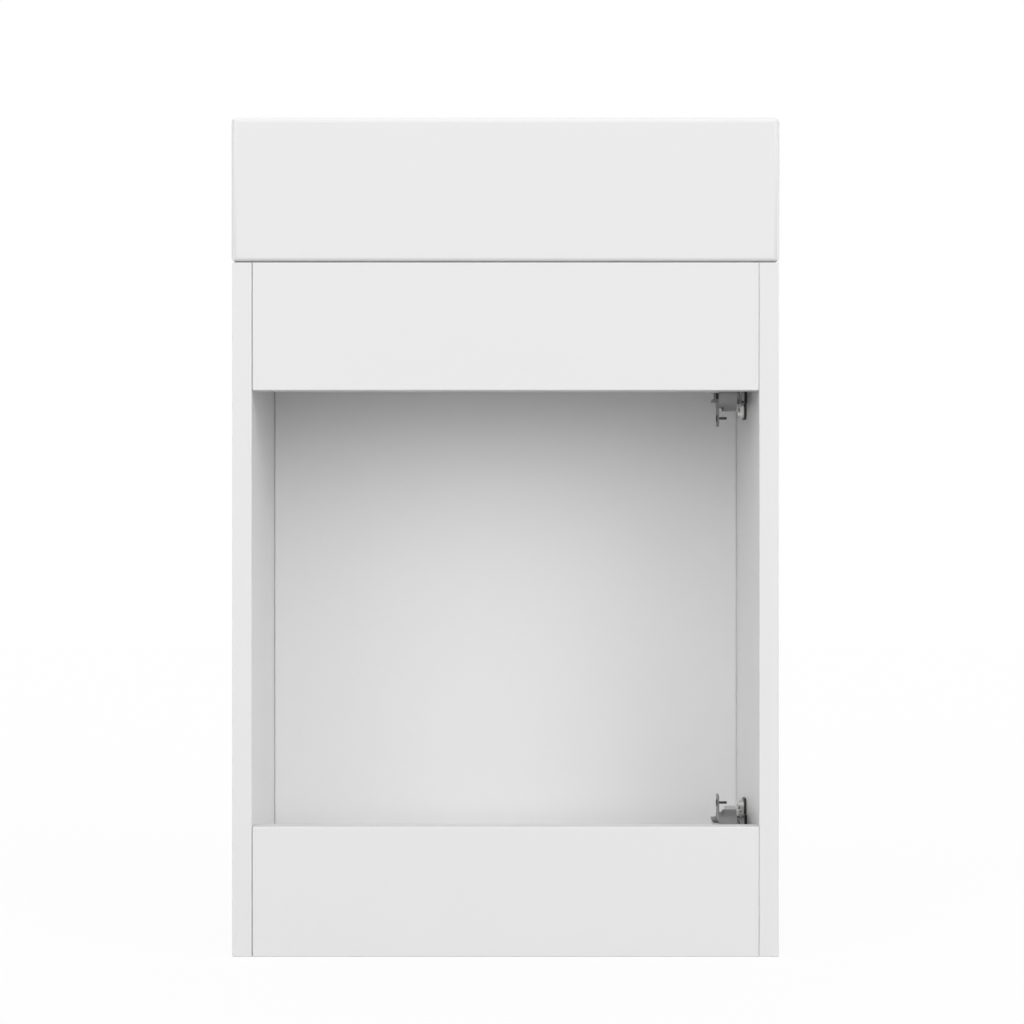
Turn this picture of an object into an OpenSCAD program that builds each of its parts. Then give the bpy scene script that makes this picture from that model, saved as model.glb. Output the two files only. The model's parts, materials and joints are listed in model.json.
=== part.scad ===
// Vanity unit with basin: closed plinth, fixed fascia, open compartment,
// two concealed hinges on the right side panel, shown open.
// X runs to the right, Y from the front to the wall, Z up. The origin is on the floor,
// at the middle of the basin's plan.

/* [Cabinet] */
// Width over the side panels
cab_w = 500; // [400:5:640]
// Depth of the side panels
cab_d = 249; // [237:1:320]
// Height of the side panels
cab_h = 635; // [560:5:760]
// Thickness of the side panels
side_t = 18; // [15:0.5:22]
// Thickness of the fascia and plinth panels
front_t = 18; // [15:0.5:22]
// Rounding of the panels' front edges
edge_r = 1; // [0.5:0.1:3]

/* [Front] */
// Height of the fixed fascia panel
fascia_h = 117; // [90:1:140]
// Height of the plinth panel
plinth_h = 119; // [100:1:150]
// Seam between the left side panel and the fascia and plinth
seam_left = 0.5; // [0.2:0.1:2]
// Seam between the right side panel and the fascia and plinth
seam_right = 0.2; // [0.2:0.1:2]

/* [Inner boards] */
// Thickness of the floor, back and rails
inner_t = 16; // [15:0.5:19]
// Distance from the wall to the back panel's front face
back_set = 49; // [44:1:58]
// Distance from the top down to the back panel's upper edge
back_drop = 75; // [70:1:90]
// Height of the floor panel's upper face
floor_top = 66; // [50:1:70]
// Depth of the top rail behind the fascia
front_rail_d = 45; // [30:1:50]
// Height of the upper rear rail
upper_rail_h = 64; // [50:1:68]
// Height of the lower rear rail
lower_rail_h = 80; // [60:1:100]
// Diameter of the wall screw holes in the rear rails
wall_hole_d = 8; // [5:0.5:10]
// Distance between the wall screw holes
wall_hole_pitch = 380; // [250:5:390]

/* [Board fittings] */
// Diameter of the cam locks
cam_d = 15; // [12:0.5:16]
// Height of the cam locks
cam_h = 12; // [10:0.5:12.5]
// Distance from a board's end to its cam locks
cam_set = 24; // [20:0.5:34]
// Diameter of the cam bolts' shafts
cam_bolt_d = 6; // [5:0.1:6.5]
// Diameter of the cam bolts' threaded ends
cam_thread_d = 5; // [4:0.1:6]
// Length of the cam bolts' threaded ends
cam_thread_l = 11; // [8:0.5:12]
// Diameter of the wooden dowels
dowel_d = 8; // [6:0.5:10]
// Length of the wooden dowels
dowel_l = 30; // [24:1:40]
// Length of a dowel that sits in the side panel
dowel_side_l = 12; // [8:0.5:12.5]
// Distance from a board's long edge to its nearest fitting
fitting_edge = 28; // [20:1:30]
// Radial clearance of the fittings in their holes
fit_gap = 0.1; // [0.05:0.01:0.3]

/* [Basin] */
// Width of the basin
basin_w = 502; // [402:1:650]
// Height of the basin's front
basin_h = 132; // [110:1:160]
// Overhang of the basin past the cabinet's front
basin_overhang = 1; // [0.5:0.5:8]
// Thickness of the sealant under the basin
seal_t = 1; // [0.5:0.1:2]
// Width of the sealant bed
seal_w = 7; // [4:0.5:8]
// Distance from the cabinet's edges to the sealant bed
seal_inset = 3; // [2:0.5:4]
// Rounding of the basin's top edges
basin_top_r = 6; // [3:0.5:8]
// Rounding of the basin's lower edges
basin_low_r = 4; // [1:0.5:5]
// Rounding of the basin's upright corners
basin_corner_r = 6; // [3:0.5:10]
// Thickness of the basin's outer walls
basin_wall = 16; // [14:0.5:20]
// Thickness of the bowl's own wall and floor
bowl_wall = 10; // [8:0.5:11]
// Depth of the deck behind the bowl
deck_d = 78; // [76:1:90]
// Depth of the bowl
bowl_depth = 98; // [80:1:100]
// Rounding of the bowl's upright corners
bowl_corner_r = 28; // [15:1:50]
// Rounding between the bowl's walls and floor
bowl_floor_r = 26; // [15:1:45]
// Diameter of the tap hole
tap_hole_d = 35; // [28:0.5:36]
// Distance from the wall to the tap hole's middle
tap_set = 36; // [34:0.5:37]
// Diameter of the waste hole
waste_hole_d = 45; // [40:0.5:46]
// Outer diameter of the boss round the waste hole
waste_boss_d = 72; // [66:1:80]
// Depth of the sloped seat round the waste hole
waste_seat = 4; // [2:0.5:5]
// Diameter of the overflow hole
overflow_d = 22; // [16:0.5:26]
// Distance from the basin's top down to the overflow hole's middle
overflow_drop = 28; // [24:1:34]
// Width of the overflow channel
overflow_way_w = 18; // [12:1:24]
// Depth of the overflow channel
overflow_way_d = 7; // [6:0.5:8]
// Wall round the overflow channel
overflow_rib_t = 5; // [4:0.5:6]
// Thickness of the overflow ring's flange
ring_t = 2.5; // [1.5:0.1:4]
// Width of the overflow ring's flange
ring_w = 3.5; // [2:0.1:5]
// Wall of the overflow ring's sleeve
ring_wall = 1; // [0.6:0.1:1.5]

/* [Hinge plates] */
// Distance from the cabinet's front to the hinge plates' screws
hinge_set = 117; // [112:1:130]
// Height of the upper hinge above the fascia's lower edge
top_hinge_rise = 2; // [0:0.5:10]
// Depth of the lower hinge below the plinth's upper edge
low_hinge_drop = 10; // [6:0.5:18]
// Distance between a hinge plate's screws
plate_pitch = 32; // [28:1:34]
// Height of the plates' lower layer over the wings
plate_h = 46; // [44:1:50]
// Height of the plates' upper layer over the wings
cover_h = 42; // [41:1:43]
// Width of the plates' wings
wing_w = 20; // [16:0.5:22]
// Thickness of the plates' lower layer
plate_t = 2.3; // [1.5:0.1:3]
// Thickness of the plates' upper layer
cover_t = 3.5; // [2.5:0.1:4]
// Diameter of the plate screws
plate_screw_d = 4; // [3:0.1:5]
// Depth of the plate screws in the side panel
plate_screw_l = 12; // [8:0.5:14]
// Diameter of the plate screws' heads
plate_screw_head_d = 8; // [6:0.1:9]
// Thickness of the plate screws' heads
plate_screw_head_t = 1.8; // [1:0.1:2.5]

/* [Hinge arms] */
// Distance from the side panel to the arm's outer face
arm_rise = 16; // [15.5:0.1:17]
// Sheet thickness of the arm
arm_t = 1.6; // [1.2:0.1:2]
// Width of the arm
arm_w = 19.6; // [19:0.1:21]
// Length of the arm behind the plate's screws
arm_back = 44; // [38:1:50]
// Radius of the arm round its pivots
arm_nose_r = 3; // [2.6:0.1:3.2]
// Diameter of the adjusting screws
adjust_d = 4; // [3:0.1:5]
// Diameter of the adjusting screws' heads
adjust_head_d = 7; // [6:0.1:8]
// Thickness of the adjusting screws' heads
adjust_head_t = 1.8; // [1:0.1:2.5]

/* [Hinge links] */
// Distance from the side panel to the outer link's pivot on the arm
outer_pivot_rise = 6; // [5.8:0.05:6.2]
// Distance of that pivot in front of the plate's screws
outer_pivot_set = 17.85; // [17.7:0.05:18]
// Distance from the side panel to the inner link's pivot on the arm
inner_pivot_rise = 7.8; // [7.6:0.05:8]
// Distance of that pivot in front of the plate's screws
inner_pivot_set = 25.05; // [24.9:0.05:25.2]
// Distance of the outer link's cup pivot in front of the cup's middle
outer_cup_ahead = 2.2; // [2:0.05:2.4]
// Distance of the inner link's cup pivot in front of the cup's middle
inner_cup_ahead = 9; // [8.8:0.05:9.2]
// Depth of the outer link's cup pivot under the flange
outer_cup_depth = 11.2; // [11:0.05:11.4]
// Depth of the inner link's cup pivot under the flange
inner_cup_depth = 10.9; // [10.7:0.05:11.1]
// Diameter of the pivot pins
pin_d = 3; // [2.8:0.05:3.1]
// Radial running clearance of the pivots
pin_gap = 0.05; // [0.02:0.01:0.09]
// Radial clearance of the inner link's open eye round its cup pin
eye_gap = 0.9; // [0.8:0.05:1]
// Diameter of the pins' riveted heads
rivet_d = 4.4; // [4:0.1:4.8]
// Thickness of the riveted heads
rivet_t = 0.8; // [0.5:0.1:1]
// Width of the outer link over its cheeks
outer_link_w = 15.6; // [15:0.1:15.8]
// Thickness of the outer link's cheeks
outer_cheek_t = 2.2; // [1.6:0.1:2.4]
// Half the height of the outer link's cheeks
outer_half = 1.6; // [1.3:0.1:1.8]
// Radius of the outer link round its pivots
outer_hub_r = 2.7; // [2.4:0.1:2.9]
// Width of the inner link
inner_link_w = 4.2; // [3.6:0.1:4.4]
// Half the height of the inner link
inner_half = 1; // [0.8:0.1:1.2]
// Radius of the inner link round its pivot on the arm
inner_hub_r = 2.7; // [2.4:0.1:2.9]
// Wall of the inner link's open eye
eye_wall = 1.2; // [1:0.1:1.3]
// Height of the links' elbows above the cup's flange
elbow_rise = 2.6; // [2.4:0.1:3]
// Thickness of the outer link's cross web
web_t = 0.7; // [0.5:0.1:0.9]
// Wire thickness of the closing spring
spring_wire = 0.9; // [0.7:0.05:1]
// Clearance between the closing spring and its pin
spring_gap = 0.35; // [0.2:0.05:0.5]
// Clear gap between the closing spring's turns
spring_turn_gap = 0.55; // [0.45:0.05:0.7]
// Number of half turns of the closing spring
spring_half_turns = 5; // [3:1:5]
// Length of the closing spring's straight ends
spring_leg = 2; // [1:0.1:2.4]

/* [Hinge cups] */
// Diameter of the cup
cup_d = 35; // [35:0.1:36]
// Depth of the cup under its flange
cup_depth = 16.5; // [15.5:0.1:17]
// Thickness of the cup's floor
cup_floor = 1.2; // [0.8:0.1:1.6]
// Distance from the side panel to the flange's underside, with the hinge open
flange_rise = 31; // [30.8:0.1:31.2]
// Distance of the cup's middle in front of the plate's screws, with the hinge open
cup_set = 48.4; // [48.2:0.05:48.6]
// Thickness of the cup's flange
flange_t = 1; // [0.8:0.1:1.2]
// Length of the flange over its two ears
flange_l = 64; // [60:1:66]
// Width of the flange's ears
ear_w = 20; // [14:1:24]
// Length of the two flats on the cup, just under its flange
neck_l = 4; // [3:0.1:5]
// Width of the cup across these flats
neck_w = 28; // [27:0.5:30]
// Distance between the two cup studs
stud_pitch = 48; // [44:1:52]
// Diameter of the cup studs
stud_d = 2.4; // [2:0.1:5]
// Length of the cup studs under the flange
stud_l = 8; // [5:0.5:12]
// Diameter of the cup studs' heads
stud_head_d = 7; // [6:0.1:9]
// Thickness of the cup studs' heads
stud_head_t = 0.9; // [0.5:0.1:1.5]
// Clearance between the links and the cup's pocket
pocket_gap = 0.5; // [0.3:0.05:0.6]
// Width of the rim between the cup's pocket and its outside
cup_rim = 1.4; // [1:0.1:1.8]

/* [Hidden] */
$fn = 48;
// Overcut of the holes past the faces that they leave
cut = 1;

// Planes of the cabinet
basin_d = cab_d + basin_overhang;
wall_y = basin_d / 2;
front_y = wall_y - cab_d;
inside_x = cab_w / 2 - side_t;
behind_front_y = front_y + front_t;
back_y = wall_y - back_set;
back_top = cab_h - back_drop;
floor_low = floor_top - inner_t;
rail_y = wall_y - inner_t;
opening_low = plinth_h;
opening_top = cab_h - fascia_h;

// Heights and directions of the board fittings, each as [y, z, way the cam faces, board thickness]
down = [0, 0, -1];
to_wall = [0, 1, 0];
to_front = [0, -1, 0];
front_mid_y = front_y + front_t / 2;
back_mid_y = back_y + inner_t / 2;
rail_mid_y = rail_y + inner_t / 2;
floor_mid_z = floor_top - inner_t / 2;
rail_mid_z = cab_h - inner_t / 2;
fascia_cams = [for (z = [cab_h - fitting_edge, opening_top + fitting_edge])
    [front_mid_y, z, to_wall, front_t]];
plinth_cams = [for (z = [opening_low - fitting_edge, fitting_edge / 2])
    [front_mid_y, z, to_wall, front_t]];
floor_cams = [for (y = [behind_front_y + fitting_edge, back_y - fitting_edge])
    [y, floor_mid_z, down, inner_t]];
front_rail_cams = [[behind_front_y + front_rail_d / 3, rail_mid_z, down, inner_t]];
back_cams = [for (z = [back_top - fitting_edge, floor_low + 2 * fitting_edge])
    [back_mid_y, z, to_wall, inner_t]];
upper_rail_cams = [[rail_mid_y, cab_h - upper_rail_h / 3, to_front, inner_t]];
lower_rail_cams = [[rail_mid_y, floor_low + lower_rail_h / 3, to_front, inner_t]];
all_cams = concat(fascia_cams, plinth_cams, floor_cams, front_rail_cams, back_cams,
    upper_rail_cams, lower_rail_cams);

// Places of the wooden dowels, each as [y, z]
fascia_dowels = [[front_mid_y, cab_h - fascia_h / 2]];
plinth_dowels = [[front_mid_y, plinth_h / 2]];
floor_dowels = [[(behind_front_y + back_y) / 2, floor_mid_z]];
front_rail_dowels = [[behind_front_y + front_rail_d * 3 / 4, rail_mid_z]];
back_dowels = [for (part = [1 / 3, 2 / 3]) [back_mid_y, floor_low + (back_top - floor_low) * part]];
upper_rail_dowels = [[rail_mid_y, cab_h - upper_rail_h * 3 / 4]];
lower_rail_dowels = [[rail_mid_y, floor_low + lower_rail_h * 3 / 4]];
all_dowels = concat(fascia_dowels, plinth_dowels, floor_dowels, front_rail_dowels, back_dowels,
    upper_rail_dowels, lower_rail_dowels);

// Basin
basin_low = cab_h + seal_t;
basin_front_y = wall_y - basin_d;
bowl_w = basin_w - 2 * basin_wall;
bowl_front_y = basin_front_y + basin_wall;
bowl_d = basin_d - basin_wall - deck_d;
bowl_mid_y = bowl_front_y + bowl_d / 2;
basin_top = basin_low + basin_h;
bowl_floor_z = basin_top - bowl_depth;
boss_low = basin_low + 2 * seal_t;
deck_front_y = bowl_front_y + bowl_d;
tap_y = wall_y - tap_set;
overflow_z = basin_top - overflow_drop;
overflow_rib_w = overflow_way_w + 2 * overflow_rib_t;
overflow_way_y = deck_front_y + bowl_wall;
overflow_way_z = boss_low + (bowl_floor_z - boss_low - overflow_way_d) / 2;

// Hinges, in a frame of their own: x away from the side panel, y to the wall, z up,
// from the point on the side panel's face midway between the plate's screws
hinge_y = front_y + hinge_set;
top_hinge_z = opening_top + top_hinge_rise;
low_hinge_z = opening_low - low_hinge_drop;
cup_y = -cup_set;
rim_y = cup_y + cup_d / 2;
outer_pivot = [outer_pivot_rise, -outer_pivot_set];
inner_pivot = [inner_pivot_rise, -inner_pivot_set];
outer_cup_pivot = [flange_rise - outer_cup_depth, cup_y - outer_cup_ahead];
inner_cup_pivot = [flange_rise - inner_cup_depth, cup_y - inner_cup_ahead];
elbow_x = flange_rise + flange_t + elbow_rise;
outer_route = [
    outer_pivot,
    [flange_rise - 9, rim_y + 9.9],
    [elbow_x - 0.2, rim_y + 4.4],
    [elbow_x - 0.2, rim_y - 8.6],
    outer_cup_pivot,
];
inner_route = [
    inner_pivot,
    [flange_rise - 9, rim_y + 7],
    [elbow_x + 0.2, rim_y + 4.4],
    [elbow_x + 0.2, rim_y - 12.6],
    inner_cup_pivot,
];
web_ends = [rim_y + 0.2, rim_y - 3.6];
arm_half = arm_w / 2;
arm_inner_half = arm_half - arm_t;
plate_top = plate_t + cover_t;
rail_half = arm_inner_half - 0.4;
rail_low_top = plate_top + 3;
arm_web_low = arm_rise - arm_t;
cheek_low = plate_top + 0.4;
adjust_ys = [-2, 30];
inner_link_low = 0.4;
eye_r = pin_d / 2 + eye_gap;
pocket_half = outer_link_w / 2 + pocket_gap;
pocket_r = cup_d / 2 - cup_rim;
pin_half = pocket_half + 2.4;
spring_r = pin_d / 2 + spring_gap + spring_wire / 2;

white_board = [0.9, 0.9, 0.9];
inner_board = [0.86, 0.86, 0.86];
white_ceramic = [0.95, 0.95, 0.95];
steel = [0.72, 0.73, 0.75];
dark_steel = [0.25, 0.25, 0.26];

// A sheet between two heights
module slab(low, high) {
    translate([0, 0, low])
    linear_extrude(high - low)
    children();
}

// The same shape on both halves of a hinge
module both_cheeks(low, high) {
    slab(low, high) children();
    slab(-high, -low) children();
}

// A band of even width along a line of points, with round corners. Its straight sides lie just
// inside the circles' tangents.
module band(points, half) {
    side = half - 0.02;
    for (i = [0 : len(points) - 2]) {
        step = points[i + 1] - points[i];
        translate(points[i])
        rotate(atan2(step[1], step[0]))
        translate([0, -side])
        square([norm(step), 2 * side]);
    }
    for (point = points)
        translate(point)
        circle(half);
}

// A rectangle in plan whose two front corners are round
module front_rounded(w, d, r) {
    translate([0, r])
    square([w, d - r]);
    translate([r, 0])
    square([w - 2 * r, r]);
    for (x = [r, w - r])
        translate([x, r])
        circle(r);
}

// A rectangle with a radius for its lower and its upper corners
module rounded_rect(w, h, low_r, high_r) {
    translate([0, low_r])
    square([w, h - low_r - high_r]);
    translate([low_r, 0])
    square([w - 2 * low_r, low_r]);
    translate([high_r, h - high_r])
    square([w - 2 * high_r, high_r]);
    for (x = [low_r, w - low_r])
        translate([x, low_r])
        circle(low_r);
    for (x = [high_r, w - high_r])
        translate([x, h - high_r])
        circle(high_r);
}

// A board with its four front edges rounded, from x0 to x1, front face at front_y
module front_board(x0, x1, d, z0, z1) {
    w = x1 - x0;
    h = z1 - z0;
    translate([x0, front_y, z0])
    intersection() {
        linear_extrude(h)
        front_rounded(w, d, edge_r);
        translate([w, 0, 0])
        rotate([0, -90, 0])
        linear_extrude(w)
        front_rounded(h, d, edge_r);
    }
}

// A plain board between the side panels
module inner_board(y0, y1, z0, z1) {
    translate([-inside_x, y0, z0])
    cube([2 * inside_x, y1 - y0, z1 - z0]);
}

module on_both_sides() {
    children();
    mirror([1, 0, 0]) children();
}

// Turns the local Z axis to a cam's way out of its board
module face_way(way) {
    rotate([way[1] == 0 ? 0 : -90 * way[1], way[2] < 0 ? 180 : 0, 0])
    children();
}

// Room for cam locks and their bolts, on the right side
module cam_rooms(cams) {
    for (cam = cams)
        translate([inside_x, cam[0], cam[1]]) {
            translate([-cam_set, 0, 0])
            face_way(cam[2])
            translate([0, 0, cam[3] / 2 - cam_h])
            cylinder(d = cam_d + 2 * fit_gap, h = cam_h + cut);
            rotate([0, -90, 0])
            cylinder(d = cam_bolt_d + 2 * fit_gap, h = cam_set);
            rotate([0, 90, 0])
            cylinder(d = cam_thread_d + 2 * fit_gap, h = cam_thread_l);
        }
}

// Room for dowels, on the right side
module dowel_rooms(dowels) {
    for (dowel = dowels)
        translate([inside_x - dowel_l + dowel_side_l - fit_gap, dowel[0], dowel[1]])
        rotate([0, 90, 0])
        cylinder(d = dowel_d + 2 * fit_gap, h = dowel_l + 2 * fit_gap);
}

module fitting_rooms(cams, dowels) {
    on_both_sides() {
        cam_rooms(cams);
        dowel_rooms(dowels);
    }
}

module wall_holes(z) {
    for (x = [-wall_hole_pitch / 2, wall_hole_pitch / 2])
        translate([x, rail_y - cut, z])
        rotate([-90, 0, 0])
        cylinder(d = wall_hole_d, h = inner_t + 2 * cut);
}

// Side panels

module side_panel_right() {
    difference() {
        front_board(inside_x, cab_w / 2, cab_d, 0, cab_h);
        cam_rooms(all_cams);
        dowel_rooms(all_dowels);
    }
}

module left_side_panel() {
    color(white_board)
    mirror([1, 0, 0])
    side_panel_right();
}

module right_side_panel() {
    color(white_board)
    difference() {
        side_panel_right();
        for (z = [top_hinge_z, low_hinge_z], side = [-1, 1])
            translate([inside_x - cut, hinge_y, z + side * plate_pitch / 2])
            rotate([0, 90, 0])
            cylinder(d = plate_screw_d + 2 * fit_gap, h = plate_screw_l + cut + fit_gap);
    }
}

// Fixed front panels

module fascia_panel() {
    color(white_board)
    difference() {
        front_board(-inside_x + seam_left, inside_x - seam_right, front_t, opening_top, cab_h);
        fitting_rooms(fascia_cams, fascia_dowels);
    }
}

module plinth_panel() {
    color(white_board)
    difference() {
        front_board(-inside_x + seam_left, inside_x - seam_right, front_t, 0, plinth_h);
        fitting_rooms(plinth_cams, plinth_dowels);
    }
}

// Boards inside

module floor_panel() {
    color(inner_board)
    difference() {
        inner_board(behind_front_y, back_y, floor_low, floor_top);
        fitting_rooms(floor_cams, floor_dowels);
    }
}

module back_panel() {
    color(inner_board)
    difference() {
        inner_board(back_y, back_y + inner_t, floor_low, back_top);
        fitting_rooms(back_cams, back_dowels);
    }
}

module front_top_rail() {
    color(inner_board)
    difference() {
        inner_board(behind_front_y, behind_front_y + front_rail_d, cab_h - inner_t, cab_h);
        fitting_rooms(front_rail_cams, front_rail_dowels);
    }
}

module rear_upper_rail() {
    color(inner_board)
    difference() {
        inner_board(rail_y, wall_y, cab_h - upper_rail_h, cab_h);
        fitting_rooms(upper_rail_cams, upper_rail_dowels);
        wall_holes(cab_h - upper_rail_h / 2);
    }
}

module rear_lower_rail() {
    color(inner_board)
    difference() {
        inner_board(rail_y, wall_y, floor_low, floor_low + lower_rail_h);
        fitting_rooms(lower_rail_cams, lower_rail_dowels);
        wall_holes(floor_low + lower_rail_h / 2);
    }
}

// Fittings between the boards

module cam_lock(cam) {
    slot = cam_bolt_d / 4;
    translate([inside_x - cam_set, cam[0], cam[1]])
    difference() {
        face_way(cam[2])
        translate([0, 0, cam[3] / 2 - cam_h + fit_gap])
        difference() {
            cylinder(d = cam_d, h = cam_h - 2 * fit_gap);
            for (turn = [0, 90])
                rotate(turn)
                translate([-cam_d / 4, -slot / 2, cam_h - 3])
                cube([cam_d / 2, slot, 3]);
        }
        rotate([0, 90, 0])
        cylinder(d = cam_bolt_d + 2 * fit_gap, h = cam_d);
    }
}

module cam_locks() {
    color(steel)
    on_both_sides()
    for (cam = all_cams)
        cam_lock(cam);
}

module cam_bolts() {
    color(steel)
    on_both_sides()
    for (cam = all_cams)
        translate([inside_x, cam[0], cam[1]])
        rotate([0, 90, 0]) {
            translate([0, 0, fit_gap - cam_set])
            cylinder(d = cam_bolt_d, h = cam_set - fit_gap);
            cylinder(d = cam_thread_d, h = cam_thread_l - fit_gap);
        }
}

module wooden_dowels() {
    color("burlywood")
    on_both_sides()
    for (dowel = all_dowels)
        translate([inside_x - dowel_l + dowel_side_l, dowel[0], dowel[1]])
        rotate([0, 90, 0])
        cylinder(d = dowel_d, h = dowel_l);
}

// Basin

// A block with round upright corners, and radii for its lower and upper edges
module rounded_block(w, d, h, corner_r, low_r, high_r) {
    intersection() {
        translate([-w / 2, -d / 2, 0])
        linear_extrude(h)
        rounded_rect(w, d, corner_r, corner_r);
        translate([-w / 2, d / 2, 0])
        rotate([90, 0, 0])
        linear_extrude(d)
        rounded_rect(w, h, low_r, high_r);
        translate([-w / 2, -d / 2, 0])
        rotate([90, 0, 90])
        linear_extrude(w)
        rounded_rect(d, h, low_r, high_r);
    }
}

module basin_outside() {
    translate([0, 0, basin_low])
    rounded_block(basin_w, basin_d, basin_h, basin_corner_r, basin_low_r, basin_top_r);
}

// The bowl, as a solid that stands past the basin's top
module bowl_inside() {
    translate([0, bowl_mid_y, bowl_floor_z])
    rounded_block(bowl_w, bowl_d, bowl_depth + 2 * cut, bowl_corner_r, bowl_floor_r, cut);
}

// The hollow under the bowl and the deck, open below
module basin_underside() {
    inner_w = basin_w - 2 * basin_wall;
    difference() {
        union() {
            translate([-inner_w / 2, bowl_front_y, basin_low - cut])
            cube([inner_w, basin_d - 2 * basin_wall, bowl_floor_z - bowl_wall - basin_low + cut]);
            translate([-inner_w / 2, deck_front_y + bowl_wall, basin_low - cut])
            cube([inner_w, deck_d - bowl_wall - basin_wall, basin_h - basin_wall + cut]);
        }
        translate([0, bowl_mid_y, boss_low])
        cylinder(d = waste_boss_d, h = basin_h);
        translate([-overflow_rib_w / 2, bowl_mid_y, boss_low])
        cube([overflow_rib_w, overflow_way_y + overflow_way_d + overflow_rib_t - bowl_mid_y, basin_h]);
    }
}

// Waterway from the overflow hole down to the waste hole
module overflow_way() {
    translate([-overflow_way_w / 2, overflow_way_y, overflow_way_z])
    cube([overflow_way_w, overflow_way_d, overflow_z + overflow_d / 2 - overflow_way_z]);
    translate([-overflow_way_w / 2, bowl_mid_y, overflow_way_z])
    cube([overflow_way_w, overflow_way_y + overflow_way_d - bowl_mid_y, overflow_way_d]);
    translate([0, deck_front_y - cut, overflow_z])
    rotate([-90, 0, 0])
    cylinder(d = overflow_d, h = bowl_wall + 2 * cut);
}

module basin() {
    color(white_ceramic)
    difference() {
        basin_outside();
        bowl_inside();
        basin_underside();
        overflow_way();
        translate([0, tap_y, basin_low])
        cylinder(d = tap_hole_d, h = basin_h + cut);
        translate([0, bowl_mid_y, basin_low]) {
            cylinder(d = waste_hole_d, h = basin_h);
            translate([0, 0, bowl_floor_z - basin_low - waste_seat])
            cylinder(d1 = waste_hole_d, d2 = waste_hole_d + 4 * waste_seat, h = waste_seat + 0.01);
        }
    }
}

module basin_sealant() {
    ring_x = cab_w / 2 - seal_inset;
    ring_y = front_y + seal_inset;
    ring_d = cab_d - 2 * seal_inset;
    color([0.93, 0.93, 0.92])
    translate([0, 0, cab_h])
    difference() {
        translate([-ring_x, ring_y, 0])
        cube([2 * ring_x, ring_d, seal_t]);
        translate([seal_w - ring_x, ring_y + seal_w, -cut])
        cube([2 * (ring_x - seal_w), ring_d - 2 * seal_w, seal_t + 2 * cut]);
    }
}

module overflow_ring() {
    sleeve_r = overflow_d / 2 - fit_gap;
    color(steel)
    translate([0, deck_front_y, overflow_z])
    rotate([90, 0, 0])
    difference() {
        union() {
            cylinder(r = overflow_d / 2 + ring_w, h = ring_t);
            translate([0, 0, -bowl_wall])
            cylinder(r = sleeve_r, h = bowl_wall);
        }
        translate([0, 0, -bowl_wall - cut])
        cylinder(r = sleeve_r - ring_wall, h = bowl_wall + ring_t + 2 * cut);
    }
}

// Concealed hinge

module hinge_at(z) {
    translate([inside_x, hinge_y, z])
    mirror([1, 0, 0])
    children();
}

// A shape drawn on the side panel's plane, raised from one distance to another
module raised(low, high) {
    translate([low, 0, 0])
    rotate([90, 0, 90])
    linear_extrude(high - low)
    children();
}

// Outline of a wing with round ends
module wing_outline(w, h, r) {
    translate([-w / 2, -h / 2])
    rounded_rect(w, h, r, r);
}

module screw_recess(x, y, z, size) {
    for (turn = [0, 90])
        translate([x, y, z])
        rotate([turn, 0, 0])
        translate([0, -size / 8, -size / 3])
        cube([cut * 2, size / 4, size * 2 / 3]);
}

module hinge_plate() {
    color(dark_steel)
    difference() {
        raised(0, plate_t) {
            wing_outline(wing_w, plate_h, 5);
            translate([-14, -rail_half])
            square([arm_back + 12, 2 * rail_half]);
        }
        for (side = [-1, 1])
            translate([-cut, 0, side * plate_pitch / 2])
            rotate([0, 90, 0])
            cylinder(d = plate_screw_d + 2 * fit_gap, h = plate_t + 2 * cut);
    }
}

module hinge_plate_cover() {
    color(steel)
    difference() {
        union() {
            raised(plate_t, plate_top)
            wing_outline(wing_w - 4, cover_h, 5);
            raised(plate_t, rail_low_top)
            translate([-12, -rail_half])
            square([arm_back + 8, 2 * rail_half]);
            for (y = adjust_ys)
                translate([plate_t, y, 0])
                rotate([0, 90, 0])
                cylinder(d = 2 * rail_half, h = arm_web_low - plate_t);
        }
        for (side = [-1, 1])
            translate([0, 0, side * plate_pitch / 2])
            rotate([0, 90, 0])
            cylinder(d = plate_screw_d + 2 * fit_gap, h = plate_top + cut);
        for (y = adjust_ys)
            translate([rail_low_top, y, 0])
            rotate([0, 90, 0])
            cylinder(d = adjust_d + 2 * fit_gap, h = arm_rise);
    }
}

module hinge_plate_screws() {
    color(steel)
    for (side = [-1, 1])
        translate([0, 0, side * plate_pitch / 2])
        difference() {
            union() {
                translate([-plate_screw_l, 0, 0])
                rotate([0, 90, 0])
                cylinder(d = plate_screw_d, h = plate_screw_l + plate_top);
                translate([plate_top, 0, 0])
                rotate([0, 90, 0])
                cylinder(d = plate_screw_head_d, h = plate_screw_head_t);
            }
            screw_recess(plate_top + plate_screw_head_t / 2, 0, 0, plate_screw_head_d);
        }
}

// Side view of the arm's cheeks
module arm_cheek() {
    nose_y = -outer_pivot_set;
    polygon([
        [cheek_low, nose_y], [inner_pivot_rise, -inner_pivot_set],
        [arm_rise, nose_y + 6], [arm_rise, arm_back], [cheek_low, arm_back],
    ]);
    band([outer_pivot, inner_pivot], arm_nose_r);
}

module hinge_arm() {
    color(steel)
    difference() {
        union() {
            both_cheeks(arm_inner_half, arm_half)
            arm_cheek();
            slab(-arm_half, arm_half)
            translate([arm_web_low, 8 - outer_pivot_set])
            square([arm_t, arm_back + outer_pivot_set - 8]);
        }
        for (pivot = [outer_pivot, inner_pivot])
            translate([pivot[0], pivot[1], -arm_w])
            cylinder(d = pin_d + 2 * pin_gap, h = 2 * arm_w);
        for (y = adjust_ys)
            translate([arm_web_low - cut, y, 0])
            rotate([0, 90, 0])
            cylinder(d = adjust_d + 2 * fit_gap, h = arm_t + 2 * cut);
    }
}

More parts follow.
